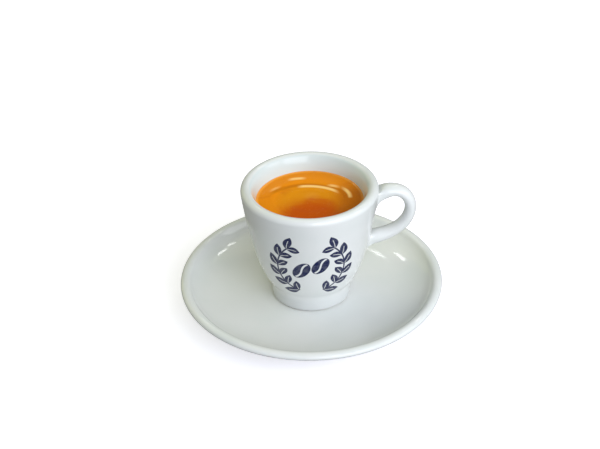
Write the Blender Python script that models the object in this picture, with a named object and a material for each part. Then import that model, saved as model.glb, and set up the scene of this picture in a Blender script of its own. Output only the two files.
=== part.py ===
"""Espresso shot in a thick porcelain cup on its saucer.

Three pieces that rest in one another: the saucer, the cup with its ear handle in one piece, and the
espresso, a solid up to the level of its crema. Metres, +Z up. The origin is the centre of the
saucer's foot ring, on the surface that it stands on, and the handle points along +X.
"""

import math

import bmesh
import bpy
from mathutils import Vector

MM = 0.001
SEGMENTS = 48
GAP = 0.3 * MM
WELD = 0.01 * MM
SHARP_ANGLE = 40.0

# Saucer, from its middle outwards, heights from the surface that it stands on
SAUCER_RADIUS = 61.1 * MM
SAUCER_HEIGHT = 19.1 * MM
WELL_RADIUS = 23.0 * MM
WELL_HEIGHT = 10.6 * MM
DISH_FLATNESS = 17.0 * MM
DISH_WALL_IN = 4.0 * MM
DISH_WALL_UP = 1.6 * MM
DISH_STEPS = 9
SAUCER_LIP_ROUND = 2.0 * MM
SAUCER_LIP_INSIDE = 160.0
SAUCER_LIP_OUTSIDE = -50.0
LIP_STEPS = 8
UNDERSIDE_IN = 4.5 * MM
UNDERSIDE_DOWN = 4.0 * MM
UNDERSIDE_RADIUS = 45.0 * MM
UNDERSIDE_HEIGHT = 6.0 * MM
UNDERSIDE_STEPS = 6
SAUCER_FOOT_FLARE = 1.0 * MM
SAUCER_FOOT_HEIGHT = 4.6 * MM
SAUCER_FOOT_OUTER = 36.0 * MM
SAUCER_FOOT_INNER = 32.0 * MM
SAUCER_FOOT_EDGE = 0.6 * MM
SAUCER_HOLLOW = 4.2 * MM
HOLLOW_SLOPE = 1.5 * MM

# Cup, heights from the plane that its foot stands on, angles in degrees
CUP_BASE = WELL_HEIGHT + GAP
CUP_HEIGHT = 57.4 * MM
CUP_RIM_RADIUS = 31.1 * MM
CUP_MOUTH_RADIUS = 26.0 * MM
CUP_LIP_ROUND = 2.4 * MM
CUP_LIP_INSIDE = 190.0
CUP_LIP_OUTSIDE = -10.0
WALL_IN = 2.0 * MM
WALL_DOWN = 16.3 * MM
BELLY_PULL = 9.5 * MM
BELLY_LEAN = 34.0
BELLY_STEPS = 11
CREASE_ROUND = 2.0 * MM
CREASE_STEPS = 3
CUP_FOOT_RADIUS = 18.5 * MM
CUP_FOOT_TAPER = 0.2 * MM
CUP_FOOT_HEIGHT = 6.6 * MM
CUP_FOOT_EDGE = 0.8 * MM
CUP_FOOT_EDGE_STEPS = 2
CUP_FOOT_WALL = 3.8 * MM
CUP_FOOT_HOLLOW = 2.4 * MM
CUP_FLOOR = 10.5 * MM
INSIDE_STEPS = 9
INSIDE_TAPER = 0.07
INSIDE_DROP = 0.52
FLOOR_FLATNESS = 0.70

# Espresso
CREMA_BELOW_RIM = 7.9 * MM
CREMA_WALL_RADIUS = 24.3 * MM

# Handle, an ear: the corners of its curve, each outwards from the axis and down from the rim
EAR_UPPER_ROOT = (28.0 * MM, 8.7 * MM)
EAR_UPPER_PULL = (46.0 * MM, -7.6 * MM)
EAR_LOWER_PULL = (57.3 * MM, 27.0 * MM)
EAR_LOWER_ROOT = (24.2 * MM, 30.0 * MM)
HANDLE_WIDTH = 7.4 * MM
HANDLE_THICKNESS = 4.8 * MM
HANDLE_RINGS = 22
HANDLE_SIDES = 12
HANDLE_SQUARENESS = 0.8
ROOT_REACH = 0.26
ROOT_THICKER = 0.9
ROOT_WIDER = 0.4
LOWER_ROOT_SHARE = 0.5


def clear_scene():
    """Remove every object that the file opened with."""
    for thing in list(bpy.data.objects):
        bpy.data.objects.remove(thing, do_unlink=True)


def make_material(name, colour, roughness):
    """Return a Principled BSDF material of one colour and roughness."""
    material = bpy.data.materials.new(name)
    material.use_nodes = True
    shader = material.node_tree.nodes["Principled BSDF"]
    shader.inputs["Base Color"].default_value = (*colour, 1.0)
    shader.inputs["Roughness"].default_value = roughness
    shader.inputs["Metallic"].default_value = 0.0
    material.diffuse_color = (*colour, 1.0)
    return material


def arc(centre, radius_out, radius_up, start, end, steps):
    """Return the points of an elliptical arc, its angles in degrees from outwards to up."""
    points = []
    for step in range(steps + 1):
        angle = math.radians(start + (end - start) * step / steps)
        points.append((centre[0] + radius_out * math.cos(angle), centre[1] + radius_up * math.sin(angle)))
    return points


def cubic_weights(t):
    """Return the shares that the four corners of a cubic curve have in its point at t."""
    return (1 - t) ** 3, 3 * t * (1 - t) ** 2, 3 * t * t * (1 - t), t ** 3


def bezier(corners, steps, first=1):
    """Return the points of a cubic curve from step number first to its end."""
    points = []
    for step in range(first, steps + 1):
        weights = cubic_weights(step / steps)
        points.append(tuple(sum(w * c[axis] for w, c in zip(weights, corners)) for axis in (0, 1)))
    return points


def finish_mesh(name, shape, material):
    """Turn a bmesh into a smooth-shaded object of its own."""
    mesh = bpy.data.meshes.new(name)
    shape.to_mesh(mesh)
    shape.free()
    mesh.shade_smooth()
    mesh.set_sharp_from_angle(angle=math.radians(SHARP_ANGLE))
    mesh.materials.append(material)
    thing = bpy.data.objects.new(name, mesh)
    bpy.context.scene.collection.objects.link(thing)
    return thing


def turned(name, outline, material):
    """Spin an outline of radius and height round Z; it starts and ends on the axis."""
    shape = bmesh.new()
    verts = [shape.verts.new((radius, 0.0, height)) for radius, height in outline]
    edges = [shape.edges.new(pair) for pair in zip(verts, verts[1:])]
    bmesh.ops.spin(
        shape,
        geom=verts + edges,
        cent=(0.0, 0.0, 0.0),
        axis=(0.0, 0.0, 1.0),
        angle=math.tau,
        steps=SEGMENTS,
    )
    bmesh.ops.remove_doubles(shape, verts=shape.verts, dist=WELD)
    bmesh.ops.recalc_face_normals(shape, faces=shape.faces)
    return finish_mesh(name, shape, material)


def cup_inside():
    """Return the cup's inner outline below the crema, from its wall down to the middle of its floor."""
    level = CUP_BASE + CUP_HEIGHT - CREMA_BELOW_RIM
    floor = CUP_BASE + CUP_FLOOR
    depth = level - floor
    corners = (
        (CREMA_WALL_RADIUS, level),
        (CREMA_WALL_RADIUS - INSIDE_TAPER * depth, level - INSIDE_DROP * depth),
        (FLOOR_FLATNESS * CREMA_WALL_RADIUS, floor),
        (0.0, floor),
    )
    return bezier(corners, INSIDE_STEPS, first=0)


def make_saucer(material):
    """Shallow dish with a flat well, an upturned wall and a thick rolled lip, on a foot ring."""
    lip = (SAUCER_RADIUS - SAUCER_LIP_ROUND, SAUCER_HEIGHT - SAUCER_LIP_ROUND)
    roll = arc(lip, SAUCER_LIP_ROUND, SAUCER_LIP_ROUND, SAUCER_LIP_INSIDE, SAUCER_LIP_OUTSIDE, LIP_STEPS)
    dish = (
        (WELL_RADIUS, WELL_HEIGHT),
        (WELL_RADIUS + DISH_FLATNESS, WELL_HEIGHT),
        (roll[0][0] - DISH_WALL_IN, WELL_HEIGHT + DISH_WALL_UP),
        roll[0],
    )
    underside = (
        roll[-1],
        (roll[-1][0] - UNDERSIDE_IN, roll[-1][1] - UNDERSIDE_DOWN),
        (UNDERSIDE_RADIUS, UNDERSIDE_HEIGHT),
        (SAUCER_FOOT_OUTER + SAUCER_FOOT_FLARE, SAUCER_FOOT_HEIGHT),
    )
    outline = [(0.0, WELL_HEIGHT), (WELL_RADIUS, WELL_HEIGHT)]
    outline += bezier(dish, DISH_STEPS)[:-1]
    outline += roll
    outline += bezier(underside, UNDERSIDE_STEPS)
    outline += [
        (SAUCER_FOOT_OUTER, SAUCER_FOOT_EDGE),
        (SAUCER_FOOT_OUTER - SAUCER_FOOT_EDGE, 0.0),
        (SAUCER_FOOT_INNER + SAUCER_FOOT_EDGE, 0.0),
        (SAUCER_FOOT_INNER, SAUCER_FOOT_EDGE),
        (SAUCER_FOOT_INNER - HOLLOW_SLOPE, SAUCER_HOLLOW),
        (0.0, SAUCER_HOLLOW),
    ]
    return turned("saucer", outline, material)


def make_cup_body(material):
    """Thick tapered bowl with a rounded lip and a short upright foot."""
    rim = CUP_BASE + CUP_HEIGHT
    lip_half = (CUP_RIM_RADIUS - CUP_MOUTH_RADIUS) / 2
    lip = (CUP_RIM_RADIUS - lip_half, rim - CUP_LIP_ROUND)
    lip_arc = arc(lip, lip_half, CUP_LIP_ROUND, CUP_LIP_INSIDE, CUP_LIP_OUTSIDE, LIP_STEPS)
    crease_centre = (CUP_FOOT_RADIUS + CREASE_ROUND, CUP_BASE + CUP_FOOT_HEIGHT)
    crease = arc(crease_centre, CREASE_ROUND, CREASE_ROUND, 180 - BELLY_LEAN, 180, CREASE_STEPS)
    lean = math.radians(BELLY_LEAN)
    wall = (
        lip_arc[-1],
        (CUP_RIM_RADIUS - WALL_IN, lip[1] - WALL_DOWN),
        (crease[0][0] + BELLY_PULL * math.sin(lean), crease[0][1] + BELLY_PULL * math.cos(lean)),
        crease[0],
    )
    edge_centre = (CUP_FOOT_RADIUS - CUP_FOOT_TAPER - CUP_FOOT_EDGE, CUP_BASE + CUP_FOOT_EDGE)
    hollow_radius = CUP_FOOT_RADIUS - CUP_FOOT_WALL
    outline = cup_inside()[::-1]
    outline += lip_arc
    outline += bezier(wall, BELLY_STEPS)[:-1]
    outline += crease
    outline += arc(edge_centre, CUP_FOOT_EDGE, CUP_FOOT_EDGE, 0, -90, CUP_FOOT_EDGE_STEPS)
    outline += [
        (hollow_radius, CUP_BASE),
        (hollow_radius - CUP_FOOT_EDGE, CUP_BASE + CUP_FOOT_EDGE),
        (hollow_radius - HOLLOW_SLOPE, CUP_BASE + CUP_FOOT_HOLLOW),
        (0.0, CUP_BASE + CUP_FOOT_HOLLOW),
    ]
    return turned("cup", outline, material)


def handle_route(t):
    """Return the middle of the ear at t, and the direction across its thickness, in the XZ plane."""
    rim = CUP_BASE + CUP_HEIGHT
    route = (EAR_UPPER_ROOT, EAR_UPPER_PULL, EAR_LOWER_PULL, EAR_LOWER_ROOT)
    corners = [Vector((out, 0.0, rim - down)) for out, down in route]
    middle = sum((w * c for w, c in zip(cubic_weights(t), corners)), Vector())
    legs = [after - corner for corner, after in zip(corners, corners[1:])]
    along = (1 - t) ** 2 * legs[0] + 2 * t * (1 - t) * legs[1] + t * t * legs[2]
    across = Vector((-along.z, 0.0, along.x)).normalized()
    upright = max(0.0, 1 - t / ROOT_REACH) ** 2
    return middle, across.lerp(Vector((0.0, 0.0, 1.0)), upright).normalized()


def squared(value):
    """Return a cosine or sine pulled outwards, which makes a circle of them slightly square."""
    return math.copysign(abs(value) ** HANDLE_SQUARENESS, value)


def make_handle(material):
    """Ear handle: an oval section swept round its loop, spreading into the wall at both roots."""
    shape = bmesh.new()
    rings = []
    for step in range(HANDLE_RINGS + 1):
        t = step / HANDLE_RINGS
        middle, across = handle_route(t)
        root = max(0.0, 1 - t / ROOT_REACH) ** 2
        root += LOWER_ROOT_SHARE * max(0.0, 1 - (1 - t) / ROOT_REACH) ** 2
        half_thickness = (1.0 + ROOT_THICKER * root) * HANDLE_THICKNESS / 2
        half_width = (1.0 + ROOT_WIDER * root) * HANDLE_WIDTH / 2
        ring = []
        for side in range(HANDLE_SIDES):
            angle = math.tau * side / HANDLE_SIDES
            place = middle + across * (squared(math.cos(angle)) * half_thickness)
            place.y += squared(math.sin(angle)) * half_width
            ring.append(shape.verts.new(place))
        rings.append(ring)
    for ring, after in zip(rings, rings[1:]):
        for side in range(HANDLE_SIDES):
            beside = (side + 1) % HANDLE_SIDES
            shape.faces.new((ring[side], ring[beside], after[beside], after[side]))
    shape.faces.new(rings[0])
    shape.faces.new(rings[-1][::-1])
    bmesh.ops.recalc_face_normals(shape, faces=shape.faces)
    return finish_mesh("handle", shape, material)


def make_cup(material):
    """Join the ear handle to the bowl as one piece of porcelain."""
    cup = make_cup_body(material)
    handle = make_handle(material)
    join = cup.modifiers.new("join handle", "BOOLEAN")
    join.operation = "UNION"
    join.solver = "EXACT"
    join.object = handle
    with bpy.context.temp_override(object=cup, active_object=cup):
        bpy.ops.object.modifier_apply(modifier=join.name)
    bpy.data.objects.remove(handle, do_unlink=True)
    return cup


def make_espresso(material):
    """Coffee that fills the bowl up to its crema, a gap away from the wall."""
    inside = cup_inside()
    level = inside[0][1]
    floor = inside[-1][1]
    outline = [(0.0, level)]
    for radius, height in inside:
        lift = GAP * (level - height) / (level - floor)
        outline.append((max(0.0, radius - GAP), height + lift))
    return turned("espresso", outline, material)


def main():
    """Model the three pieces."""
    clear_scene()
    porcelain = make_material("white porcelain", (0.80, 0.81, 0.81), 0.12)
    crema = make_material("hazelnut crema", (0.62, 0.27, 0.05), 0.30)
    make_saucer(porcelain)
    make_cup(porcelain)
    make_espresso(crema)


main()
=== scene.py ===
"""An espresso shot in its thick porcelain cup on a saucer, modelled and lit as a studio picture.

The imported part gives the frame: metres, +Z up, the saucer's foot ring centred on the origin, the
handle towards +X and the decorated front towards -Y. Each piece below stands for one of its nodes.
"""

import logging
import math
from dataclasses import dataclass, field
from enum import Enum
from typing import Any, Mapping, Sequence

import bpy
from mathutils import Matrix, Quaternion, Vector


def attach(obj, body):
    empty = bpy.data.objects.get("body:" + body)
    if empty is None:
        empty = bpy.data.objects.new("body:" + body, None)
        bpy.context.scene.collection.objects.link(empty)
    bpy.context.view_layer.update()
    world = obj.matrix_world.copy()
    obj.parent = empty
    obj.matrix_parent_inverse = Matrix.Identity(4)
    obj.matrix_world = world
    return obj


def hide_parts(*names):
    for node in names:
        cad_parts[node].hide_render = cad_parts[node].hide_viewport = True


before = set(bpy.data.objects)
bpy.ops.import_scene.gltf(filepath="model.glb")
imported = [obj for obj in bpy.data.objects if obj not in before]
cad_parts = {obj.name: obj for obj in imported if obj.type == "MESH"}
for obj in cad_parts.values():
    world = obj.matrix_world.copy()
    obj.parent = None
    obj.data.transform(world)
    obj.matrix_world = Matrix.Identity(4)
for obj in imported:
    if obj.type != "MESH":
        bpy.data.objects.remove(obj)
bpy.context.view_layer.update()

Point = tuple[float, float]
Colour = tuple[float, float, float]

MM = 0.001
ROTATE_SIGN = -1.0  # the rotate operator turns the other way when there is no window
log = logging.getLogger("espresso")


class Body(Enum):
    """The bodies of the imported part."""

    ROOT = "root"


class Node(Enum):
    """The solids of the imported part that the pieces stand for."""

    SAUCER = "saucer"
    CUP = "cup"
    ESPRESSO = "espresso"


class Slot(Enum):
    """The names of the two finishes."""

    PORCELAIN = "porcelain"
    CREMA = "crema"


# Modelling ------------------------------------------------------------------------------------


def arc(centre: Point, radii: Point, start: float, end: float, steps: int) -> list[Point]:
    """Return the points of an elliptical arc.

    Args:
        centre: Radius and height of its centre.
        radii: Its reach outwards and upwards.
        start: First angle in degrees, from outwards towards up.
        end: Last angle in degrees.
        steps: Number of steps between the two.

    Returns:
        The points, as radius and height.
    """
    turns = [math.radians(start + (end - start) * step / steps) for step in range(steps + 1)]
    return [(centre[0] + radii[0] * math.cos(a), centre[1] + radii[1] * math.sin(a)) for a in turns]


def cubic(corners: Sequence[Sequence[float]], t: float) -> tuple[float, ...]:
    """Return the point at t of a cubic curve.

    Args:
        corners: The curve's four corners.
        t: The place on the curve, from 0 to 1.

    Returns:
        The point, with as many numbers as the corners have.
    """
    weights = ((1 - t) ** 3, 3 * t * (1 - t) ** 2, 3 * t * t * (1 - t), t**3)
    return tuple(sum(w * c[axis] for w, c in zip(weights, corners)) for axis in range(len(corners[0])))


def cubic_points(corners: Sequence[Point], steps: int) -> list[Point]:
    """Return the points of a cubic curve after its first, one for each step."""
    return [cubic(corners, (step + 1) / steps) for step in range(steps)]


def cubic_at_height(corners: Sequence[Point], height: float) -> Point:
    """Return the point of a falling cubic curve at a height, found by halving."""
    low, high = 0.0, 1.0
    for _ in range(40):
        middle = (low + high) / 2
        if cubic(corners, middle)[1] > height:
            low = middle
        else:
            high = middle
    return cubic(corners, low)


def beyond(first: Point, second: Point, reach: float) -> Point:
    """Return the point past the second on the line from the first, a reach further on."""
    length = math.dist(first, second)
    return tuple(b + (b - a) * reach / length for a, b in zip(first, second))


def edit(mode: str) -> None:
    """Enter edit mode with nothing selected, picking by VERT, EDGE or FACE."""
    bpy.ops.object.mode_set(mode="EDIT")
    bpy.ops.mesh.select_mode(type=mode)
    bpy.ops.mesh.select_all(action="DESELECT")


def leave_edit() -> None:
    """Go back to object mode."""
    bpy.ops.object.mode_set(mode="OBJECT")


def select_rims() -> None:
    """Select every open edge of the mesh in edit mode."""
    bpy.ops.mesh.select_non_manifold(
        extend=False,
        use_wire=False,
        use_boundary=True,
        use_multi_face=False,
        use_non_contiguous=False,
        use_verts=False,
    )


def apply_place(piece: bpy.types.Object) -> None:
    """Put a piece's place, turn and size into its mesh."""
    bpy.ops.object.select_all(action="DESELECT")
    piece.select_set(True)
    bpy.context.view_layer.objects.active = piece
    bpy.ops.object.transform_apply(location=True, rotation=True, scale=True)


def smooth(piece: bpy.types.Object, levels: int) -> None:
    """Round a piece off with an applied subdivision surface and shade it smooth.

    Args:
        piece: The piece, whose faces are its cage.
        levels: How often each face is cut in four.
    """
    bpy.ops.object.select_all(action="DESELECT")
    piece.select_set(True)
    bpy.context.view_layer.objects.active = piece
    surface = piece.modifiers.new("surface", "SUBSURF")
    surface.levels = surface.render_levels = levels
    bpy.ops.object.modifier_apply(modifier=surface.name)
    bpy.ops.object.shade_smooth()


def point_outwards() -> None:
    """Turn every face of the mesh in edit mode outwards."""
    bpy.ops.mesh.select_all(action="SELECT")
    bpy.ops.mesh.normals_make_consistent(inside=False)


@dataclass(frozen=True)
class PottersWheel:
    """Throws a round piece from a disc whose edge is drawn out, ring after ring, to an outline."""

    segments: int = 64

    @property
    def allowance(self) -> float:
        """How much wider the cage is than the rounded piece."""
        return 6.0 / (4.0 + 2.0 * math.cos(math.tau / self.segments))

    def throw(self, name: str, outline: Sequence[Point]) -> bpy.types.Object:
        """Model a closed round piece.

        Args:
            name: The piece's name.
            outline: Radius and height of each ring, from the middle of the top outwards, down and
                back to the middle underneath. The middles themselves are left out.

        Returns:
            The piece, still a cage, in object mode.
        """
        rings = [(radius * self.allowance, height) for radius, height in outline]
        radius, height = rings[0]
        bpy.ops.object.select_all(action="DESELECT")
        bpy.ops.mesh.primitive_circle_add(
            vertices=self.segments, radius=radius, fill_type="TRIFAN", location=(0.0, 0.0, height)
        )
        piece = bpy.context.object
        piece.name = name
        apply_place(piece)
        edit("EDGE")
        select_rims()
        for next_radius, next_height in rings[1:]:
            bpy.ops.mesh.extrude_edges_move(TRANSFORM_OT_translate={"value": (0.0, 0.0, next_height - height)})
            growth = next_radius / radius
            bpy.ops.transform.resize(value=(growth, growth, 1.0), center_override=(0.0, 0.0, next_height))
            radius, height = next_radius, next_height
        bpy.ops.mesh.extrude_edges_move(TRANSFORM_OT_translate={"value": (0.0, 0.0, 0.0)})
        bpy.ops.mesh.merge(type="CENTER")
        point_outwards()
        leave_edit()
        return piece


# Shading --------------------------------------------------------------------------------------


class Signal:
    """A number that a node puts out; arithmetic on it adds Math nodes."""

    def __init__(self, graph: "ShaderGraph", socket: bpy.types.NodeSocket) -> None:
        """Wrap a socket of a graph."""
        self.graph = graph
        self.socket = socket

    def _with(self, operation: str, *others: "Signal | float") -> "Signal":
        """Return the result of a Math node on this number and others."""
        return self.graph.math(operation, self, *others)

    def __add__(self, other: "Signal | float") -> "Signal":
        """Return the sum."""
        return self._with("ADD", other)

    __radd__ = __add__

    def __sub__(self, other: "Signal | float") -> "Signal":
        """Return the difference."""
        return self._with("SUBTRACT", other)

    def __rsub__(self, other: float) -> "Signal":
        """Return the other less this."""
        return self.graph.math("SUBTRACT", other, self)

    def __mul__(self, other: "Signal | float") -> "Signal":
        """Return the product."""
        return self._with("MULTIPLY", other)

    __rmul__ = __mul__

    def __truediv__(self, other: "Signal | float") -> "Signal":
        """Return the quotient."""
        return self._with("DIVIDE", other)

    def __rtruediv__(self, other: float) -> "Signal":
        """Return the other divided by this."""
        return self.graph.math("DIVIDE", other, self)

    def __pow__(self, other: "Signal | float") -> "Signal":
        """Return the power."""
        return self._with("POWER", other)

    def __neg__(self) -> "Signal":
        """Return the negative."""
        return self * -1.0

    def __abs__(self) -> "Signal":
        """Return the size without its sign."""
        return self._with("ABSOLUTE")

    def least(self, other: "Signal | float") -> "Signal":
        """Return the smaller of two."""
        return self._with("MINIMUM", other)

    def most(self, other: "Signal | float") -> "Signal":
        """Return the larger of two."""
        return self._with("MAXIMUM", other)

    def sine(self) -> "Signal":
        """Return the sine."""
        return self._with("SINE")

    def sign(self) -> "Signal":
        """Return 1 or -1, as the number is."""
        return self._with("SIGN")

    def floor(self) -> "Signal":
        """Return the whole number below."""
        return self._with("FLOOR")

    def ramp(self, low: float, high: float) -> "Signal":
        """Return 0 below low, 1 above high and a soft rise between them.

        Args:
            low: Where the rise starts.
            high: Where it ends; below low it falls instead.

        Returns:
            The mask.
        """
        settings = {"interpolation_type": "SMOOTHSTEP", "clamp": True}
        sockets = {"Value": self, "From Min": low, "From Max": high}
        if low > high:
            sockets = {"Value": self, "From Min": high, "From Max": low, "To Min": 1.0, "To Max": 0.0}
        return Signal(self.graph, self.graph.node("ShaderNodeMapRange", settings, sockets).outputs["Result"])


class ShaderGraph:
    """The nodes of one material, with a Principled shader at their end."""

    def __init__(self, name: str) -> None:
        """Start an empty material of that name."""
        self.material = bpy.data.materials.new(name)
        self.material.use_nodes = True
        self.nodes = self.material.node_tree.nodes
        self.links = self.material.node_tree.links
        self.shader = self.nodes["Principled BSDF"]

    def node(
        self,
        kind: str,
        settings: Mapping[str, Any] | None = None,
        sockets: Mapping[Any, Any] | None = None,
    ) -> bpy.types.Node:
        """Add a node.

        Args:
            kind: The node's type.
            settings: Its properties, set first.
            sockets: Values or links of its inputs, by name or number.

        Returns:
            The node.
        """
        made = self.nodes.new(kind)
        for key, value in (settings or {}).items():
            setattr(made, key, value)
        for key, value in (sockets or {}).items():
            self.feed(made.inputs[key], value)
        return made

    def feed(self, socket: bpy.types.NodeSocket, value: Any) -> None:
        """Link a signal or socket to an input, or set a constant on it."""
        if isinstance(value, Signal):
            value = value.socket
        if isinstance(value, bpy.types.NodeSocket):
            self.links.new(value, socket)
        elif socket.type == "RGBA":
            socket.default_value = (*value, 1.0)
        else:
            socket.default_value = value

    def math(self, operation: str, *values: "Signal | float") -> Signal:
        """Return the result of a Math node."""
        made = self.node("ShaderNodeMath", {"operation": operation}, dict(enumerate(values)))
        return Signal(self, made.outputs[0])

    def vector(self, operation: str, *values: Any) -> bpy.types.NodeSocket:
        """Return the vector that a Vector Math node puts out."""
        made = self.node("ShaderNodeVectorMath", {"operation": operation}, dict(enumerate(values)))
        return made.outputs["Vector"]

    def place(self) -> bpy.types.NodeSocket:
        """Return the place on the object, in metres."""
        return self.node("ShaderNodeTexCoord").outputs["Object"]

    def axes(self, place: bpy.types.NodeSocket) -> tuple[Signal, Signal, Signal]:
        """Return the three numbers of a place."""
        parts = self.node("ShaderNodeSeparateXYZ", sockets={0: place})
        return tuple(Signal(self, socket) for socket in parts.outputs)

    def noise(self, place: Any, size: float, detail: float = 2.0, roughness: float = 0.5, wander: float = 0.0) -> Signal:
        """Return a cloudy pattern between 0 and 1.

        Args:
            place: Where it is read.
            size: Width of one cloud in metres.
            detail: How many finer layers it has.
            roughness: How strong they are.
            wander: How far the clouds are pulled about.

        Returns:
            The pattern.
        """
        sockets = {"Vector": place, "Scale": 1.0 / size, "Detail": detail, "Roughness": roughness, "Distortion": wander}
        return Signal(self, self.node("ShaderNodeTexNoise", {"noise_dimensions": "3D"}, sockets).outputs[0])

    def mix(self, factor: Any, first: Any, second: Any) -> bpy.types.NodeSocket:
        """Return a blend of two colours.

        Args:
            factor: 0 for the first, 1 for the second.
            first: A colour or a socket.
            second: A colour or a socket.

        Returns:
            The colour's socket.
        """
        made = self.node("ShaderNodeMix", {"data_type": "RGBA", "clamp_factor": True})
        self.feed(made.inputs[0], factor)
        self.feed(made.inputs[6], first)
        self.feed(made.inputs[7], second)
        return made.outputs[2]

    def bump(self, height: Signal, distance: float, below: Any = None) -> bpy.types.NodeSocket:
        """Return a normal that is raised by a pattern.

        Args:
            height: The pattern, 0 to 1.
            distance: What 1 stands for, in metres.
            below: A normal that this one is laid over.

        Returns:
            The normal's socket.
        """
        sockets = {"Height": height, "Distance": distance, "Strength": 1.0}
        if below is not None:
            sockets["Normal"] = below
        return self.node("ShaderNodeBump", sockets=sockets).outputs["Normal"]

    def finish(self, **inputs: Any) -> bpy.types.Material:
        """Set the Principled shader's inputs, by name with _ for a space, and return the material."""
        for key, value in inputs.items():
            self.feed(self.shader.inputs[key.replace("_", " ")], value)
        return self.material


@dataclass(frozen=True)
class Sprig:
    """A printed ring of leaves round two coffee beans, in one navy ink."""

    ink: Colour = (0.001, 0.006, 0.056)
    middle: float = 41.0 * MM
    radius: float = 15.6 * MM
    stem: float = 0.38 * MM
    first_leaf: float = 0.34
    leaf_pitch: float = 0.40
    leaf_pairs: int = 6
    leaf_length: float = 6.8 * MM
    leaf_half: float = 1.90 * MM
    leaf_lean: float = 0.74
    vein: float = 0.14 * MM
    bean_out: float = 4.3 * MM
    bean_up: float = 1.3 * MM
    bean_length: float = 5.3 * MM
    bean_half: float = 3.4 * MM
    bean_lean: float = 0.95
    slit: float = 0.45 * MM
    edge: float = 0.06 * MM

    def _inked(self, inside: Signal) -> Signal:
        """Return a mask that is 1 where a distance from the edge is positive."""
        return inside.ramp(-self.edge, self.edge)

    def mask(self, graph: ShaderGraph) -> Signal:
        """Return where the ink lies.

        Args:
            graph: The nodes of the cup's finish.

        Returns:
            The mask, 1 on ink.
        """
        x, y, z = graph.axes(graph.place())
        out = (x * x + y * y) ** 0.5
        side = graph.math("ARCTAN2", x, -y) * out
        up = z - self.middle
        return self._leaves(graph, abs(side), up).most(self._beans(side, up))

    def _leaves(self, graph: ShaderGraph, across: Signal, up: Signal) -> Signal:
        """Return where the ring's stem and leaves are."""
        reach = (across * across + up * up) ** 0.5
        turn = graph.math("ARCTAN2", across, -up)
        cell = ((turn - self.first_leaf) / self.leaf_pitch).floor()
        along = (turn - self.first_leaf - (cell + 0.5) * self.leaf_pitch) * self.radius
        aside = abs(reach - self.radius)
        last_leaf = self.first_leaf + self.leaf_pairs * self.leaf_pitch
        on_ring = turn.ramp(self.first_leaf - 0.01, self.first_leaf) * turn.ramp(last_leaf, last_leaf - 0.01)
        lean, rise = math.cos(self.leaf_lean), math.sin(self.leaf_lean)
        start = -0.42 * self.leaf_length
        tip = (along - start) * lean + aside * rise
        width = aside * lean - (along - start) * rise
        share = tip * (2.0 / self.leaf_length) - 1.0
        leaf = self._inked((1.0 - share * share) * self.leaf_half - abs(width))
        vein = self._inked(self.vein - abs(width)) * share.ramp(0.45, 0.35)
        stem_end = last_leaf - 0.9 * self.leaf_pitch
        stem = self._inked(self.stem - aside) * turn.ramp(stem_end, stem_end - 0.01)
        return (leaf * (1.0 - vein)).most(stem) * on_ring

    def _beans(self, side: Signal, up: Signal) -> Signal:
        """Return where the pair of beans is, the second the first turned half round."""
        lean, rise = math.cos(self.bean_lean), math.sin(self.bean_lean)
        out = abs(side) - self.bean_out
        over = up * side.sign() - self.bean_up
        along = out * lean + over * rise
        width = over * lean - out * rise
        shape = (along / self.bean_length) ** 2.0 + (width / self.bean_half) ** 2.0
        bean = self._inked((1.0 - shape) * (self.bean_half / 2.0))
        curve = (along * (math.pi / self.bean_length)).sine() * (0.22 * self.bean_half)
        slit = self._inked(self.slit - abs(width - curve)) * shape.ramp(0.90, 0.80)
        return bean * (1.0 - slit)


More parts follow.
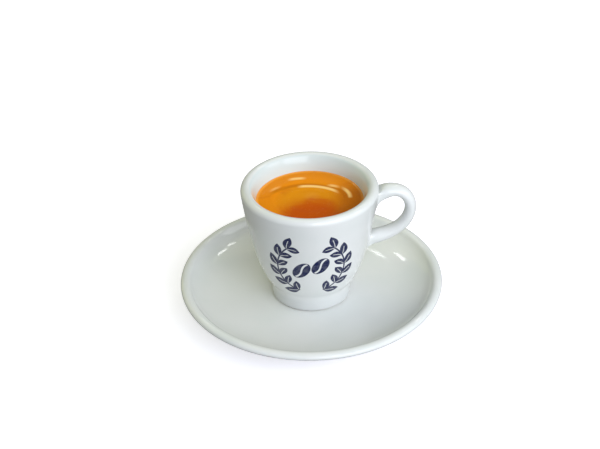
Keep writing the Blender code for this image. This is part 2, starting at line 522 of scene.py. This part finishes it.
@dataclass(frozen=True)
class Porcelain:
    """White porcelain under a clear glossy glaze, bare where it stands; painted shade darkens a cup's foot and a
    painted cool shade tints the inside of its mouth against the crema's warm bounce light.
    """

    body: Colour = (0.700, 0.715, 0.712)
    # Painted shade: the inside of a cup's mouth gets a darker, cooler colour that offsets the warm light the crema
    # bounces onto it.
    pooled: Colour = (0.660, 0.690, 0.680)
    inside: Colour = (0.590, 0.665, 0.670)
    inside_reach: Point = (27.5 * MM, 26.5 * MM)
    inside_above: Point = (57.0 * MM, 58.0 * MM)
    # Painted shade: a darker glaze colour laid over a cup's foot, standing in for the shade there.
    painted_foot_shade: Colour = (0.580, 0.600, 0.600)
    foot_shade_below: float = 0.0
    bisque: Colour = (0.640, 0.610, 0.560)
    specular: float = 0.30
    roughness: float = 0.06
    unevenness: float = 0.04
    bare_below: float = 0.5 * MM
    swell: float = 0.020 * MM
    peel: float = 0.0008 * MM

    def make(self, name: str, print_on: Sprig | None = None) -> bpy.types.Material:
        """Return the finish.

        Args:
            name: The material's name.
            print_on: A decoration under the glaze.

        Returns:
            The material.
        """
        graph = ShaderGraph(name)
        place = graph.place()
        cloud = graph.noise(place, 28.0 * MM, detail=3.0)
        colour = graph.mix(cloud.ramp(0.35, 0.75), self.body, self.pooled)
        speck = graph.noise(place, 0.45 * MM, detail=1.0).ramp(0.80, 0.86)
        colour = graph.mix(speck * 0.18, colour, self.bisque)
        grain = graph.noise(place, 0.35 * MM, detail=3.0)
        x, y, height = graph.axes(place)
        # Painted shade: a darker, cooler tint inside the cup's mouth, above the crema.
        throat = ((x * x + y * y) ** 0.5).ramp(*self.inside_reach) * height.ramp(*self.inside_above)
        colour = graph.mix(throat, colour, self.inside)
        # Painted shade: darker below the foot's top, fading in over 4 mm.
        colour = graph.mix(height.ramp(self.foot_shade_below, self.foot_shade_below - 4.0 * MM), colour, self.painted_foot_shade)
        bare = height.ramp(self.bare_below + 0.1 * MM, self.bare_below)
        colour = graph.mix(bare, colour, graph.mix(grain, self.bisque, (0.72, 0.69, 0.64)))
        gloss = cloud * self.unevenness + (self.roughness - self.unevenness / 2.0)
        roughness = gloss + bare * 0.6
        if print_on is not None:
            ink = print_on.mask(graph)
            wear = graph.noise(place, 1.6 * MM, detail=4.0).ramp(0.30, 0.70) * 0.08
            colour = graph.mix(ink * (1.0 - wear), colour, print_on.ink)
        swell = graph.bump(graph.noise(place, 14.0 * MM, detail=1.0), self.swell)
        peel = graph.bump(graph.noise(place, 1.1 * MM, detail=2.0), self.peel, swell)
        rough = graph.bump(grain * bare, 0.03 * MM, peel)
        return graph.finish(
            Base_Color=colour,
            Roughness=roughness,
            Normal=rough,
            IOR=1.52,
            Specular_IOR_Level=self.specular,
        )


@dataclass(frozen=True)
class PaintedArc:
    """A stretch of a ring at the back of the cup, used for the painted highlight arcs and the painted shade lines."""

    centre: Point
    radius: float
    left: float
    right: float
    strength: float
    half: float = 1.3 * MM
    fade: float = 1.8 * MM

    def mask(self, x: Signal, y: Signal) -> Signal:
        """Return where the line is, at its strength."""
        reach = ((x - self.centre[0]) ** 2.0 + (y - self.centre[1]) ** 2.0) ** 0.5
        line = abs(reach - self.radius).ramp(self.half, 0.2 * self.half) * y.ramp(0.0, 2.0 * MM)
        start = x.ramp(self.left - self.fade, self.left + self.fade)
        end = x.ramp(self.right + self.fade, self.right - self.fade)
        return line * start * end * self.strength


@dataclass(frozen=True)
class CremaFoam:
    """Fine hazelnut foam with a wet skin: ochre in the middle, orange round it and red-brown in swirls, with painted
    shadow on its near and right sides, painted shade lines and painted highlight arcs at the back.
    """

    orange: Colour = (0.790, 0.250, 0.003)
    ochre: Colour = (0.725, 0.262, 0.004)
    # Red-brown of the swirls, and the colour of the painted shadow that the near wall casts on the crema.
    red_brown_and_shadow: Colour = (0.550, 0.088, 0.0005)
    # Painted shade: the brown of the painted shadow on the right and of the painted shade lines.
    painted_shade: Colour = (0.460, 0.120, 0.001)
    # Pale foam colour, which is also the colour of the painted highlights.
    pale_foam_and_highlight: Colour = (0.990, 0.640, 0.220)
    ochre_reach: Point = (9.0 * MM, 18.0 * MM)
    # Centre and reach of the painted shadow on the near side; the wander shifts the edges of all the patches.
    near_shadow_centre: Point = (2.0 * MM, -15.0 * MM)
    near_shadow_reach: Point = (20.5 * MM, 10.5 * MM)
    patch_wander: float = 9.0 * MM
    # Painted shadow on the right side: where it rises across and where it fades towards the back.
    right_shade_x: Point = (7.0 * MM, 18.0 * MM)
    right_shade_y: Point = (16.0 * MM, 4.0 * MM)
    # A faint painted highlight in the middle of the crema.
    glint_centre: Point = (1.0 * MM, 3.3 * MM)
    glint_reach: Point = (5.0 * MM, 1.0 * MM)
    fringe: Point = (1.6 * MM, 0.2 * MM)
    # Painted shade: dark lines beside the painted highlight arcs.
    shade_lines: tuple[PaintedArc, ...] = (
        PaintedArc((-1.1 * MM, -9.1 * MM), 22.1 * MM, -17.0 * MM, 13.0 * MM, 0.55, 1.8 * MM),
        PaintedArc((7.4 * MM, 1.0 * MM), 9.2 * MM, 12.0 * MM, 17.0 * MM, 0.50, 1.8 * MM),
    )
    # Painted highlights: pale arcs where the glossy crema reflects the rim and the lamps.
    painted_lines: tuple[PaintedArc, ...] = (
        PaintedArc((-1.1 * MM, -9.1 * MM), 20.9 * MM, -4.5 * MM, 12.2 * MM, 0.95, 1.5 * MM),
        PaintedArc((7.4 * MM, 1.0 * MM), 11.1 * MM, 9.0 * MM, 13.0 * MM, 0.70),
        PaintedArc((7.4 * MM, 1.0 * MM), 11.1 * MM, 15.5 * MM, 19.0 * MM, 0.95, 1.5 * MM),
        PaintedArc((-3.0 * MM, -3.0 * MM), 21.25 * MM, -9.0 * MM, -2.5 * MM, 0.85, 1.5 * MM),
        PaintedArc((-5.0 * MM, -5.0 * MM), 18.15 * MM, -17.5 * MM, -14.0 * MM, 0.45),
    )
    roughness: float = 0.12
    specular: float = 0.12
    bubble: float = 0.55 * MM

    def _drawn(self, painted_lines: Sequence[PaintedArc], x: Signal, y: Signal) -> Signal:
        """Return the strongest of some lines at each place."""
        found, *others = [line.mask(x, y) for line in painted_lines]
        for other in others:
            found = found.most(other)
        return found

    def _away(self, centre: Point, x: Signal, y: Signal) -> Signal:
        """Return how far a place is from a centre."""
        return ((x - centre[0]) ** 2.0 + (y - centre[1]) ** 2.0) ** 0.5

    def make(self, name: str, wall: float) -> bpy.types.Material:
        """Return the finish.

        Args:
            name: The material's name.
            wall: Radius of the drink's edge.

        Returns:
            The material.
        """
        graph = ShaderGraph(name)
        place = graph.place()
        x, y, _ = graph.axes(place)
        out = (x * x + y * y) ** 0.5
        swirl = graph.noise(place, 11.0 * MM, detail=3.0, roughness=0.5, wander=1.0)
        foam = graph.noise(place, 0.9 * MM, detail=4.0, roughness=0.7)
        drift = (swirl - 0.5) * self.patch_wander
        # Painted shadow of the near wall.
        near_shadow = (self._away(self.near_shadow_centre, x, y) + drift).ramp(*self.near_shadow_reach)
        # Painted shadow on the right side.
        painted_shade = (x + drift * 0.5).ramp(*self.right_shade_x) * y.ramp(*self.right_shade_y)
        # Faint painted highlight in the middle.
        middle_glint = self._away(self.glint_centre, x, y).ramp(*self.glint_reach)
        fringe = out.ramp(wall - self.fringe[0], wall - self.fringe[1])
        colour = graph.mix((out + drift).ramp(*self.ochre_reach), self.ochre, self.orange)
        # Lay the painted shadows: the near side, then the right side.
        colour = graph.mix(near_shadow, colour, self.red_brown_and_shadow)
        colour = graph.mix(painted_shade * 0.85, colour, self.painted_shade)
        colour = graph.mix(swirl.ramp(0.42, 0.26) * 0.30, colour, self.red_brown_and_shadow)
        # Painted shade lines.
        colour = graph.mix(self._drawn(self.shade_lines, x, y), colour, self.painted_shade)
        # Pale foam flecks, with the faint painted highlight in the middle.
        colour = graph.mix(foam.ramp(0.56, 0.76) * 0.12 + middle_glint * 0.05, colour, self.pale_foam_and_highlight)
        colour = graph.mix(foam.ramp(0.44, 0.24) * 0.15, colour, self.red_brown_and_shadow)
        colour = graph.mix(fringe * 0.22, colour, self.pale_foam_and_highlight)
        # Painted highlight arcs.
        colour = graph.mix(self._drawn(self.painted_lines, x, y), colour, self.pale_foam_and_highlight)
        cells = graph.node("ShaderNodeTexVoronoi", {"feature": "F1"}, {"Vector": place, "Scale": 1.0 / self.bubble})
        domes = Signal(graph, cells.outputs["Distance"]).ramp(0.55, 0.0)
        edge = out.ramp(wall - 3.0 * MM, wall - 0.5 * MM) * 0.9 + 0.1
        skin = graph.bump(foam, 0.006 * MM)
        bubbles = graph.bump(domes * edge, 0.014 * MM, skin)
        return graph.finish(
            Base_Color=colour,
            Roughness=foam * 0.08 + (self.roughness - 0.04),
            Normal=bubbles,
            IOR=1.33,
            Specular_IOR_Level=self.specular,
        )


@dataclass(frozen=True)
class StudioFloor:
    """Matt white table top."""

    colour: Colour = (0.87, 0.86, 0.96)
    glow: float = 0.45

    def make(self, name: str) -> bpy.types.Material:
        """Return the finish."""
        graph = ShaderGraph(name)
        return graph.finish(
            Base_Color=self.colour,
            Roughness=0.9,
            Specular_IOR_Level=0.0,
            Emission_Color=(1.0, 1.0, 1.0),
            Emission_Strength=self.glow,
        )


# Pieces ---------------------------------------------------------------------------------------


def stand_for(piece: bpy.types.Object, node: Node, material: bpy.types.Material) -> None:
    """Dress a finished piece and tie it to the frame.

    Args:
        piece: The piece, in place.
        node: The solid that it stands for.
        material: Its material.
    """
    piece.data.materials.clear()
    piece.data.materials.append(material)
    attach(piece, Body.ROOT.value)
    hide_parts(node.value)
    log.info("%s: %d faces, stands for %s", piece.name, len(piece.data.polygons), node.value)


@dataclass
class Saucer:
    """Round dish with a flat well, an upturned wall, a rolled lip and a foot ring."""

    radius: float = 61.1 * MM
    height: float = 19.1 * MM
    lip_half: float = 2.35 * MM
    lip_rise: float = 1.7 * MM
    well_radius: float = 23.0 * MM
    well_height: float = 10.6 * MM
    dish_flatness: float = 17.0 * MM
    wall_in: float = 2.8 * MM
    wall_up: float = 1.8 * MM
    foot_outer: float = 36.0 * MM
    foot_inner: float = 32.0 * MM
    foot_height: float = 4.6 * MM
    hollow: float = 4.2 * MM
    wheel: PottersWheel = field(default_factory=lambda: PottersWheel(72))
    glaze: Porcelain = field(default_factory=Porcelain)

    def outline(self) -> list[Point]:
        """Return the rings from the middle of the well to the middle underneath."""
        lip = (self.radius - self.lip_half, self.height - self.lip_rise)
        roll = arc(lip, (self.lip_half, self.lip_rise), 160, -50, 11)
        dish = (
            (self.well_radius, self.well_height),
            (self.well_radius + self.dish_flatness, self.well_height),
            (roll[0][0] - self.wall_in, self.well_height + self.wall_up),
            roll[0],
        )
        underside = (
            roll[-1],
            (roll[-1][0] - 4.5 * MM, roll[-1][1] - 4.0 * MM),
            (45.0 * MM, 6.0 * MM),
            (self.foot_outer + 1.0 * MM, self.foot_height),
        )
        rings = [(r * MM, self.well_height) for r in (4.0, 9.0, 14.0, 18.5)]
        rings += [dish[0], *cubic_points(dish, 14)[:-1], *roll, *cubic_points(underside, 8)]
        edge = arc((self.foot_outer - 0.9 * MM, 0.9 * MM), (0.9 * MM, 0.9 * MM), 0, -90, 3)
        inner = arc((self.foot_inner + 0.9 * MM, 0.9 * MM), (0.9 * MM, 0.9 * MM), -90, -180, 3)
        rings += [(self.foot_outer + 0.2 * MM, 3.0 * MM), *edge, *inner]
        rings += [(self.foot_inner - 0.2 * MM, 2.4 * MM), (self.foot_inner - 0.9 * MM, self.hollow - 0.4 * MM)]
        rings += [(self.foot_inner - 2.0 * MM, self.hollow), (20.0 * MM, self.hollow), (8.0 * MM, self.hollow)]
        return rings

    def build(self) -> bpy.types.Object:
        """Model and glaze the saucer."""
        piece = self.wheel.throw("porcelain_saucer", self.outline())
        smooth(piece, 2)
        stand_for(piece, Node.SAUCER, self.glaze.make("saucer glaze"))
        return piece


@dataclass
class Handle:
    """Ear handle: an oval section that is drawn along its loop, from the upper root to the lower."""

    route: tuple[Point, ...] = (
        (28.0 * MM, 60.3 * MM),
        (46.4 * MM, 77.0 * MM),
        (57.4 * MM, 42.2 * MM),
        (24.2 * MM, 39.2 * MM),
    )
    width: float = 7.4 * MM
    thickness: float = 5.2 * MM
    start: float = 0.13
    end: float = 0.925
    rings: int = 22
    sides: int = 16
    root_reach: float = 0.26
    root_thicker: float = 0.9
    root_wider: float = 0.4
    lower_share: float = 0.5

    def section(self, t: float) -> tuple[Vector, float, float, float]:
        """Return the section at a place on the loop.

        Args:
            t: The place, 0 inside the upper root and 1 inside the lower.

        Returns:
            Its centre, its lean in the XZ plane, its half thickness and its half width.
        """
        out, up = cubic(self.route, t)
        ahead, behind = cubic(self.route, t + 0.001), cubic(self.route, t - 0.001)
        along = Vector((ahead[0] - behind[0], ahead[1] - behind[1])).normalized()
        across = Vector((-along.y, along.x))
        upright = max(0.0, 1 - t / self.root_reach) ** 2
        across = across.lerp(Vector((0.0, 1.0)), upright)
        root = upright + self.lower_share * max(0.0, 1 - (1 - t) / self.root_reach) ** 2
        allowance = 6.0 / (4.0 + 2.0 * math.cos(math.tau / self.sides))
        half_thickness = (1 + self.root_thicker * root) * self.thickness / 2 * allowance
        half_width = (1 + self.root_wider * root) * self.width / 2 * allowance
        lean = math.atan2(across.y, across.x)
        return Vector((out, 0.0, up)), lean, half_thickness, half_width

    def build(self) -> bpy.types.Object:
        """Model the loop as an open tube, its ends near the cup's wall."""
        centre, lean, thick, wide = self.section(self.start)
        bpy.ops.object.select_all(action="DESELECT")
        bpy.ops.mesh.primitive_circle_add(
            vertices=self.sides, radius=thick, fill_type="NOTHING", location=centre, rotation=(0.0, -lean, 0.0)
        )
        tube = bpy.context.object
        tube.name = "handle"
        apply_place(tube)
        edit("EDGE")
        bpy.ops.mesh.select_all(action="SELECT")
        bpy.ops.transform.resize(value=(1.0, wide / thick, 1.0), center_override=centre)
        for ring in range(1, self.rings + 1):
            t = self.start + (self.end - self.start) * ring / self.rings
            after, next_lean, next_thick, next_wide = self.section(t)
            bpy.ops.mesh.extrude_edges_move(TRANSFORM_OT_translate={"value": after - centre})
            turn = (lean - next_lean + math.pi) % math.tau - math.pi
            bpy.ops.transform.rotate(value=turn * ROTATE_SIGN, orient_axis="Y", center_override=after)
            growth = next_thick / thick
            bpy.ops.transform.resize(value=(growth, next_wide / wide, growth), center_override=after)
            centre, lean, thick, wide = after, next_lean, next_thick, next_wide
        leave_edit()
        return tube


@dataclass
class Cup:
    """Thick tapered bowl with a rounded lip, a short foot and an ear handle, in one piece."""

    base: float = 10.9 * MM
    height: float = 57.4 * MM
    rim_radius: float = 31.1 * MM
    mouth_radius: float = 26.0 * MM
    lip_round: float = 2.4 * MM
    foot_radius: float = 18.5 * MM
    foot_height: float = 6.6 * MM
    foot_edge: float = 0.8 * MM
    foot_hollow: float = 2.4 * MM
    foot_wall: float = 3.8 * MM
    crease: float = 10.0 * MM
    lip_turn: float = 158.0
    throat_pull: float = 2.2 * MM
    lean: float = 34.0
    floor: float = 10.5 * MM
    crema_below_rim: float = 7.9 * MM
    crema_radius: float = 24.3 * MM
    upper_root: tuple[float, float] = (56.9 * MM, 65.45 * MM)
    lower_root: tuple[float, float] = (34.4 * MM, 42.8 * MM)
    rings_between: tuple[float, ...] = (54.2, 51.2, 48.2, 45.4)
    rings_below: tuple[float, ...] = (32.0, 29.6, 27.2, 25.0, 23.0, 21.3)
    root_rows: int = 4
    root_half: float = 6.4 * MM
    lower_half: float = 5.6 * MM
    wheel: PottersWheel = field(default_factory=PottersWheel)
    handle: Handle = field(default_factory=Handle)
    # The cup's glaze has painted shade over its foot, below 19 mm.
    glaze: Porcelain = field(default_factory=lambda: Porcelain(foot_shade_below=19.0 * MM, bare_below=11.3 * MM))
    sprig: Sprig = field(default_factory=Sprig)

    @property
    def rim(self) -> float:
        """Height of the rim above the table."""
        return self.base + self.height

    def inside(self) -> tuple[Point, ...]:
        """Return the corners of the inner wall, from the middle of the floor up to the crema."""
        level = self.rim - self.crema_below_rim
        bottom = self.base + self.floor
        depth = level - bottom
        return (
            (0.0, bottom),
            (0.70 * self.crema_radius, bottom),
            (self.crema_radius - 0.07 * depth, level - 0.52 * depth),
            (self.crema_radius, level),
        )

    def outline(self) -> list[Point]:
        """Return the rings from the middle of the floor, over the lip, to the middle underneath."""
        half = (self.rim_radius - self.mouth_radius) / 2
        lip_centre = (self.rim_radius - half, self.rim - self.lip_round)
        lip = arc(lip_centre, (half, self.lip_round), self.lip_turn, -10, 11)
        inside = self.inside()
        throat = (
            inside[-1],
            beyond(inside[-2], inside[-1], self.throat_pull),
            beyond(lip[1], lip[0], self.throat_pull),
            lip[0],
        )
        shoulder = self.base + self.foot_height - 2.4 * MM
        crease = arc(
            (self.foot_radius + self.crease, shoulder), (self.crease, self.crease), 180 - self.lean, 180, 5
        )
        lean = math.radians(self.lean)
        wall = (
            lip[-1],
            (self.rim_radius - 2.0 * MM, lip_centre[1] - 16.3 * MM),
            (crease[0][0] + 9.5 * MM * math.sin(lean), crease[0][1] + 9.5 * MM * math.cos(lean)),
            crease[0],
        )
        heights = self._rows(self.upper_root)[1:] + [h * MM for h in self.rings_between]
        heights += self._rows(self.lower_root) + [h * MM for h in self.rings_below]
        edge_centre = (self.foot_radius - 0.2 * MM - self.foot_edge, self.base + self.foot_edge)
        foot = arc(edge_centre, (self.foot_edge, self.foot_edge), 0, -90, 3)
        inner = self.foot_radius - self.foot_wall
        rings = cubic_points(inside, 16)
        rings += cubic_points(throat, 5)[:-1]
        rings += lip
        rings += [cubic_at_height(wall, height) for height in heights]
        rings += crease
        rings += [(self.foot_radius - 0.05 * MM, self.base + 2.4 * MM), *foot]
        rings += [(inner + 0.4 * MM, self.base), (inner - 0.3 * MM, self.base + 0.5 * MM)]
        rings += [(inner - 0.7 * MM, self.base + 1.6 * MM), (inner - 1.6 * MM, self.base + self.foot_hollow)]
        rings += [(8.0 * MM, self.base + self.foot_hollow), (3.0 * MM, self.base + self.foot_hollow)]
        return rings

    def _rows(self, root: tuple[float, float]) -> list[float]:
        """Return the heights of the rings that a root's opening lies between, from the top."""
        low, high = root
        return [high + (low - high) * row / self.root_rows for row in range(self.root_rows + 1)]

    def _open_roots(self, bowl: bpy.types.Object) -> None:
        """Take the wall's faces out where the handle grows from it."""
        roots = ((self.upper_root, self.root_half), (self.lower_root, self.lower_half))
        edit("FACE")
        leave_edit()
        for face in bowl.data.polygons:
            middle = face.center
            outside = middle.x > 0 and face.normal.x > 0.3
            face.select = outside and any(
                low - 0.1 * MM < middle.z < high + 0.1 * MM and abs(middle.y) < half for (low, high), half in roots
            )
        bpy.ops.object.mode_set(mode="EDIT")
        bpy.ops.mesh.delete(type="FACE")
        leave_edit()

    def _bridge(self, cup: bpy.types.Object, root: tuple[float, float]) -> None:
        """Close the gap between an opening in the wall and the handle's end beside it."""
        low, high = root
        edit("EDGE")
        leave_edit()
        uses: dict[tuple[int, int], int] = {}
        for face in cup.data.polygons:
            for key in face.edge_keys:
                uses[key] = uses.get(key, 0) + 1
        points = cup.data.vertices
        margin = 4.0 * MM
        for edge in cup.data.edges:
            middle = (points[edge.vertices[0]].co + points[edge.vertices[1]].co) / 2
            near = low - margin < middle.z < high + margin
            edge.select = near and uses.get(tuple(sorted(edge.vertices)), 0) == 1
        bpy.ops.object.mode_set(mode="EDIT")
        bpy.ops.mesh.bridge_edge_loops(number_cuts=2, interpolation="SURFACE", smoothness=1.0)
        leave_edit()

    def build(self) -> bpy.types.Object:
        """Model, print and glaze the cup."""
        bowl = self.wheel.throw("porcelain_cup", self.outline())
        self._open_roots(bowl)
        tube = self.handle.build()
        bpy.ops.object.select_all(action="DESELECT")
        tube.select_set(True)
        bowl.select_set(True)
        bpy.context.view_layer.objects.active = bowl
        bpy.ops.object.join()
        self._bridge(bowl, self.upper_root)
        self._bridge(bowl, self.lower_root)
        edit("FACE")
        point_outwards()
        leave_edit()
        smooth(bowl, 2)
        stand_for(bowl, Node.CUP, self.glaze.make("cup glaze", self.sprig))
        return bowl


@dataclass
class Espresso:
    """The drink: coffee up to its crema, which creeps up the wall and stands in two low rings."""

    cup: Cup
    bite: float = 0.35 * MM
    sag: float = 0.55 * MM
    creep: float = 0.40 * MM
    creep_width: float = 1.5 * MM
    rings: tuple[Point, ...] = ((9.6 * MM, 0.20 * MM), (16.2 * MM, 0.30 * MM))
    ring_width: float = 0.80 * MM
    wheel: PottersWheel = field(default_factory=PottersWheel)
    foam: CremaFoam = field(default_factory=CremaFoam)

    def surface(self, radius: float) -> float:
        """Return the crema's height at a distance from the axis."""
        level = self.cup.rim - self.cup.crema_below_rim - self.sag
        steps = sum(rise * (1 + math.tanh((radius - at) / self.ring_width)) / 2 for at, rise in self.rings)
        near_wall = max(0.0, 1 - (self.cup.crema_radius - radius) / self.creep_width)
        return level + steps + self.creep * near_wall**2

    def outline(self) -> list[Point]:
        """Return the rings from the middle of the crema to the middle of the cup's floor."""
        wall = self.cup.crema_radius + self.bite
        radii = [0.7 * MM * step for step in range(1, 33)]
        radii += [self.cup.crema_radius - gap * MM for gap in (1.4, 1.0, 0.6, 0.25)]
        rings = [(radius, self.surface(radius)) for radius in radii]
        rings += [(wall, self.surface(self.cup.crema_radius)), (wall, rings[0][1] - 0.6 * MM)]
        down = self.cup.inside()[::-1]
        low = [point for point in cubic_points(down, 14) if point[0] > 1.0 * MM]
        rings += [(r - 0.1 * MM, h + 0.1 * MM) for r, h in low]
        return rings

    def build(self) -> bpy.types.Object:
        """Model the drink and give it its foam."""
        piece = self.wheel.throw("espresso_with_crema", self.outline())
        smooth(piece, 2)
        stand_for(piece, Node.ESPRESSO, self.foam.make("crema", self.cup.crema_radius))
        return piece


# Studio ---------------------------------------------------------------------------------------


@dataclass(frozen=True)
class Lamp:
    """A soft rectangular lamp that faces the cup."""

    name: str
    azimuth: float
    elevation: float
    distance: float
    width: float
    height: float
    power: float
    colour: Colour = (1.0, 1.0, 1.0)
    target: tuple[float, float, float] = (0.0, 0.0, 0.03)

    def place(self) -> bpy.types.Object:
        """Hang the lamp, its azimuth from -Y towards +X."""
        around, up = math.radians(self.azimuth), math.radians(self.elevation)
        towards = Vector((math.sin(around) * math.cos(up), -math.cos(around) * math.cos(up), math.sin(up)))
        light = bpy.data.lights.new(self.name, "AREA")
        light.shape = "RECTANGLE"
        light.size, light.size_y = self.width, self.height
        light.energy = self.power
        light.color = self.colour
        lamp = bpy.data.objects.new(self.name, light)
        lamp.location = Vector(self.target) + towards * self.distance
        lamp.rotation_mode = "QUATERNION"
        lamp.rotation_quaternion = (-towards).to_track_quat("-Z", "Y")
        bpy.context.scene.collection.objects.link(lamp)
        return lamp


@dataclass
class Studio:
    """White table, pale surroundings and lamps."""

    lamps: tuple[Lamp, ...] = (
        Lamp("key", 27.0, 31.0, 1.1, 0.90, 0.70, 11.0, (0.89, 0.93, 1.0)),
        Lamp("low_front", 20.0, 6.0, 1.1, 0.90, 0.35, 2.1, (0.91, 0.945, 1.0)),
        Lamp("side", 76.0, 30.0, 1.0, 0.50, 0.50, 2.8, (0.97, 0.98, 1.0)),
        Lamp("far_left", -120.0, 28.0, 1.1, 1.00, 1.00, 2.6, (0.98, 1.0, 0.45)),
        Lamp("high_back", 180.0, 60.0, 1.1, 0.90, 0.60, 1.3, (0.95, 1.0, 0.52)),
        Lamp("window_left_low", 149.7, 48.0, 1.2, 0.090, 0.085, 0.290),
        Lamp("window_left_high", 144.8, 53.4, 1.2, 0.110, 0.065, 0.210),
        Lamp("window_right_near", -175.1, 43.3, 1.2, 0.035, 0.045, 0.045),
        Lamp("window_right_far", -162.0, 44.3, 1.2, 0.080, 0.080, 0.200),
    )
    surroundings: Colour = (0.97, 0.98, 0.97)
    brightness: float = 0.30
    table: StudioFloor = field(default_factory=StudioFloor)

    def build(self) -> None:
        """Set the table, the lamps and the surroundings."""
        bpy.ops.object.select_all(action="DESELECT")
        bpy.ops.mesh.primitive_plane_add(size=30.0, location=(0.0, 0.0, 0.0))
        floor = bpy.context.object
        floor.name = "floor"
        floor.data.materials.append(self.table.make("table top"))
        floor.visible_diffuse = floor.visible_glossy = False
        for lamp in self.lamps:
            lamp.place()
        world = bpy.data.worlds.new("studio")
        world.use_nodes = True
        nodes, links = world.node_tree.nodes, world.node_tree.links
        light = nodes["Background"]
        light.inputs["Color"].default_value = (*self.surroundings, 1.0)
        light.inputs["Strength"].default_value = self.brightness
        backdrop = nodes.new("ShaderNodeBackground")
        backdrop.inputs["Color"].default_value = (1.0, 1.0, 1.0, 1.0)
        seen = nodes.new("ShaderNodeLightPath")
        choice = nodes.new("ShaderNodeMixShader")
        links.new(seen.outputs["Is Camera Ray"], choice.inputs[0])
        links.new(light.outputs[0], choice.inputs[1])
        links.new(backdrop.outputs[0], choice.inputs[2])
        links.new(choice.outputs[0], nodes["World Output"].inputs["Surface"])
        scene = bpy.context.scene
        scene.world = world
        scene.view_settings.view_transform = "Standard"
        scene.view_settings.look = "None"


@dataclass(frozen=True)
class PhotoCamera:
    """The camera, where the photograph was taken from."""

    location: tuple[float, float, float] = (0.0, -0.50212, 0.37934)
    aim: tuple[float, float, float] = (-0.004647, 0.0, 0.046841)
    roll: float = -1.3865
    lens: float = 79.12
    sensor: float = 36.0

    def place(self) -> bpy.types.Object:
        """Set the camera up and make it the scene's own."""
        data = bpy.data.cameras.new("camera")
        data.lens = self.lens
        data.sensor_width = self.sensor
        data.clip_start = 0.01
        camera = bpy.data.objects.new("camera", data)
        camera.location = self.location
        camera.rotation_mode = "QUATERNION"
        sight = Vector(self.aim) - Vector(self.location)
        camera.rotation_quaternion = sight.to_track_quat("-Z", "Y") @ Quaternion(
            (0.0, 0.0, 1.0), math.radians(self.roll)
        )
        bpy.context.scene.collection.objects.link(camera)
        bpy.context.scene.camera = camera
        return camera


def corners(box: tuple[Vector, Vector]) -> list[list[float]]:
    """Return a box's two corners as plain lists of numbers."""
    return [[float(value) for value in corner] for corner in box]


def main() -> None:
    """Place the camera and build the pieces and the studio."""
    logging.basicConfig(level=logging.INFO, format="%(message)s")
    PhotoCamera().place()
    cup = Cup()
    Saucer().build()
    cup.build()
    Espresso(cup).build()
    Studio().build()


if __name__ == "__main__":
    main()
